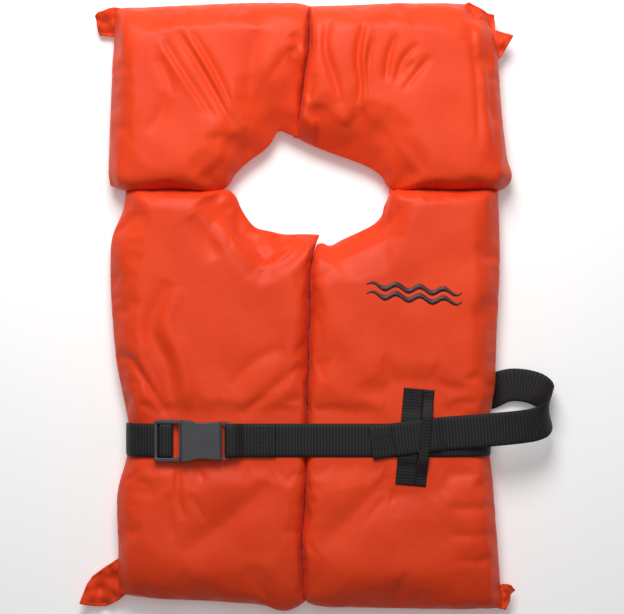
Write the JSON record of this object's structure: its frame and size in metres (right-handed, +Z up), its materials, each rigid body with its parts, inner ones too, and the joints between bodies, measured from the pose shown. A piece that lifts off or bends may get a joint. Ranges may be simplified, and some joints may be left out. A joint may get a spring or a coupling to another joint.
{
  "type": "life jacket",
  "caption": "Adult keyhole flotation vest: foam-filled chest panels and folding collar in a sewn shell, webbing waist belt with side-release buckle and a sewn keeper.",
  "frame": {"origin": "middle of the base of the whole jacket's box, on the surface that it lies on", "axes": "+X across the jacket, to the right as seen from its front; +Y from the hem to the top of the collar; +Z up, out of the front"},
  "size_m": [0.539, 0.694, 0.0606],
  "materials": {
    "shell_fabric": "satin",
    "foam": "matte",
    "webbing": "matte",
    "thread": "matte",
    "buckle_plastic": "satin"
  },
  "bodies": {
    "root": {"left_chest_front_cover": "shell_fabric", "left_chest_back_cover": "shell_fabric", "left_chest_foam_1": "foam", "left_chest_foam_2": "foam", "left_chest_foam_3": "foam", "right_chest_front_cover": "shell_fabric", "right_chest_back_cover": "shell_fabric", "right_chest_foam_1": "foam", "right_chest_foam_2": "foam", "right_chest_foam_3": "foam", "left_shoulder_channel": "shell_fabric", "right_shoulder_channel": "shell_fabric", "bottom_left_tab": "shell_fabric", "bottom_right_tab": "shell_fabric", "socket_strap": "webbing", "belt_end_strap": "webbing", "belt_slack_loop": "webbing", "belt_return_strap": "webbing", "belt_back_run": "webbing", "belt_keeper": "webbing", "socket_end_stitch": "thread", "belt_end_stitch": "thread", "keeper_top_stitch": "thread", "keeper_bottom_stitch": "thread", "buckle_socket": "buckle_plastic"},
    "collar": {"left_collar_front_cover": "shell_fabric", "left_collar_back_cover": "shell_fabric", "left_collar_foam_1": "foam", "left_collar_foam_2": "foam", "left_collar_foam_3": "foam", "right_collar_front_cover": "shell_fabric", "right_collar_back_cover": "shell_fabric", "right_collar_foam_1": "foam", "right_collar_foam_2": "foam", "right_collar_foam_3": "foam", "collar_centre_channel": "shell_fabric", "top_left_tab": "shell_fabric", "top_right_tab": "shell_fabric"},
    "plug": {"buckle_plug": "buckle_plastic", "buckle_strap": "webbing"},
    "prong_upper": {"prong_upper": "buckle_plastic"},
    "prong_lower": {"prong_lower": "buckle_plastic"}
  },
  "joints": [
    {"name": "collar_fold", "type": "hinge", "parent": "root", "child": "collar", "pos_m": [0, 0.1325, 0.022], "axis": [1, 0, 0], "range_deg": [-75, 75]},
    {"name": "buckle_release", "type": "slide", "parent": "root", "child": "plug", "axis": [-1, 0, 0], "range_m": [0, 0.038], "deforming": ["prong_upper", "prong_lower"]},
    {"name": "prong_upper_squeeze", "type": "hinge", "parent": "plug", "child": "prong_upper", "pos_m": [-0.15091, -0.1379, 0.0546], "axis": [0, 0, -1], "range_deg": [0, 9], "stiffness_Nm_per_rad": 1},
    {"name": "prong_lower_squeeze", "type": "hinge", "parent": "plug", "child": "prong_lower", "pos_m": [-0.15091, -0.1671, 0.0546], "axis": [0, 0, 1], "range_deg": [0, 9], "stiffness_Nm_per_rad": 1}
  ]
}
